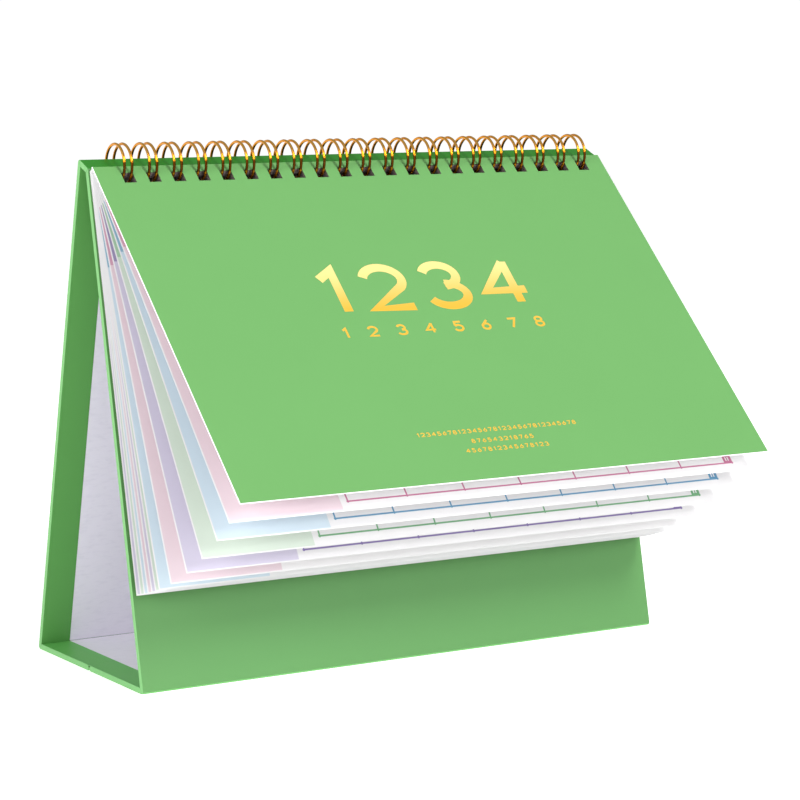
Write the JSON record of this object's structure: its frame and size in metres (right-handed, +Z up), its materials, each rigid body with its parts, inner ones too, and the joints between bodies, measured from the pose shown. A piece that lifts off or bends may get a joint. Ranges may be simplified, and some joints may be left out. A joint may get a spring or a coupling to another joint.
{
  "type": "desk calendar",
  "caption": "Standing desk calendar: green wrapped greyboard easel, gold twin-loop wire along the ridge, a cover and pastel month leaves fanned towards the reader.",
  "frame": {"origin": "middle of the underside of the box round the whole calendar as it stands, on the table", "axes": "+X along the ridge towards the right end as the reader sees it, -Y towards the reader, +Z up"},
  "size_m": [0.19, 0.1368, 0.1644],
  "materials": {
    "cover_paper": "smooth printed offset paper, faint satin",
    "liner_paper": "matt uncoated lilac-grey paper",
    "greyboard": "bare pressed greyboard",
    "printed_cover": "printed cover with plain gold foil marks",
    "month_pink": "printed month leaf, matt",
    "month_blue": "printed month leaf, matt",
    "month_green": "printed month leaf, matt",
    "month_lilac": "printed month leaf, matt",
    "gilt_wire": "polished gold-coloured coating on steel wire"
  },
  "bodies": {
    "case": {"back_board": "greyboard", "back_liner": "liner_paper", "back_wrap": "cover_paper", "base_front_board": "greyboard", "base_front_wrap": "cover_paper", "base_liner": "liner_paper", "base_rear_board": "greyboard", "base_rear_wrap": "cover_paper", "front_board": "greyboard", "front_liner": "liner_paper", "front_wrap": "cover_paper", "spine_board": "greyboard", "spine_liner": "liner_paper", "spine_wrap": "cover_paper", "twin_loop_wire": "gilt_wire"},
    "cover": {"cover_sheet": "printed_cover"},
    "leaf_01_sheet": {"leaf_01": "month_pink"},
    "leaf_02_sheet": {"leaf_02": "month_blue"},
    "leaf_03_sheet": {"leaf_03": "month_green"},
    "leaf_04_sheet": {"leaf_04": "month_lilac"},
    "leaf_05_sheet": {"leaf_05": "month_pink"},
    "leaf_06_sheet": {"leaf_06": "month_blue"},
    "leaf_07_sheet": {"leaf_07": "month_green"},
    "leaf_08_sheet": {"leaf_08": "month_lilac"},
    "leaf_09_sheet": {"leaf_09": "month_pink"},
    "leaf_10_sheet": {"leaf_10": "month_blue"},
    "leaf_11_sheet": {"leaf_11": "month_green"},
    "leaf_12_sheet": {"leaf_12": "month_lilac"}
  },
  "joints": [
    {"name": "cover_flip", "type": "hinge", "parent": "case", "child": "cover", "pos_m": [0, 0.02612, 0.1567], "axis": [-1, 0, 0], "range_deg": [-33.7, 126]},
    {"name": "leaf_01_flip", "type": "hinge", "parent": "case", "child": "leaf_01_sheet", "pos_m": [0, 0.02612, 0.1567], "axis": [-1, 0, 0], "range_deg": [-29.8, 111.42]},
    {"name": "leaf_02_flip", "type": "hinge", "parent": "case", "child": "leaf_02_sheet", "pos_m": [0, 0.02612, 0.1567], "axis": [-1, 0, 0], "range_deg": [-25.6, 95.72]},
    {"name": "leaf_03_flip", "type": "hinge", "parent": "case", "child": "leaf_03_sheet", "pos_m": [0, 0.02612, 0.1567], "axis": [-1, 0, 0], "range_deg": [-20.6, 77.02]},
    {"name": "leaf_04_flip", "type": "hinge", "parent": "case", "child": "leaf_04_sheet", "pos_m": [0, 0.02612, 0.1567], "axis": [-1, 0, 0], "range_deg": [-15.7, 58.7]},
    {"name": "leaf_05_flip", "type": "hinge", "parent": "case", "child": "leaf_05_sheet", "pos_m": [0, 0.02612, 0.1567], "axis": [-1, 0, 0], "range_deg": [-10.8, 40.38]},
    {"name": "leaf_06_flip", "type": "hinge", "parent": "case", "child": "leaf_06_sheet", "pos_m": [0, 0.02612, 0.1567], "axis": [-1, 0, 0], "range_deg": [-7.2, 26.92]},
    {"name": "leaf_07_flip", "type": "hinge", "parent": "case", "child": "leaf_07_sheet", "pos_m": [0, 0.02612, 0.1567], "axis": [-1, 0, 0], "range_deg": [-6.1, 22.81]},
    {"name": "leaf_08_flip", "type": "hinge", "parent": "case", "child": "leaf_08_sheet", "pos_m": [0, 0.02612, 0.1567], "axis": [-1, 0, 0], "range_deg": [-5, 18.69]},
    {"name": "leaf_09_flip", "type": "hinge", "parent": "case", "child": "leaf_09_sheet", "pos_m": [0, 0.02612, 0.1567], "axis": [-1, 0, 0], "range_deg": [-3.9, 14.58]},
    {"name": "leaf_10_flip", "type": "hinge", "parent": "case", "child": "leaf_10_sheet", "pos_m": [0, 0.02612, 0.1567], "axis": [-1, 0, 0], "range_deg": [-2.8, 10.47]},
    {"name": "leaf_11_flip", "type": "hinge", "parent": "case", "child": "leaf_11_sheet", "pos_m": [0, 0.02612, 0.1567], "axis": [-1, 0, 0], "range_deg": [-1.7, 6.36]},
    {"name": "leaf_12_flip", "type": "hinge", "parent": "case", "child": "leaf_12_sheet", "pos_m": [0, 0.02612, 0.1567], "axis": [-1, 0, 0], "range_deg": [-0.6, 2.24]}
  ],
  "couplings": [
    {"joint": "leaf_01_flip", "follows": "cover_flip", "ratio": 0.88427},
    {"joint": "leaf_02_flip", "follows": "cover_flip", "ratio": 0.75964},
    {"joint": "leaf_03_flip", "follows": "cover_flip", "ratio": 0.61128},
    {"joint": "leaf_04_flip", "follows": "cover_flip", "ratio": 0.46588},
    {"joint": "leaf_05_flip", "follows": "cover_flip", "ratio": 0.32047},
    {"joint": "leaf_06_flip", "follows": "cover_flip", "ratio": 0.21365},
    {"joint": "leaf_07_flip", "follows": "cover_flip", "ratio": 0.18101},
    {"joint": "leaf_08_flip", "follows": "cover_flip", "ratio": 0.14837},
    {"joint": "leaf_09_flip", "follows": "cover_flip", "ratio": 0.11573},
    {"joint": "leaf_10_flip", "follows": "cover_flip", "ratio": 0.083086},
    {"joint": "leaf_11_flip", "follows": "cover_flip", "ratio": 0.050445},
    {"joint": "leaf_12_flip", "follows": "cover_flip", "ratio": 0.017804}
  ]
}
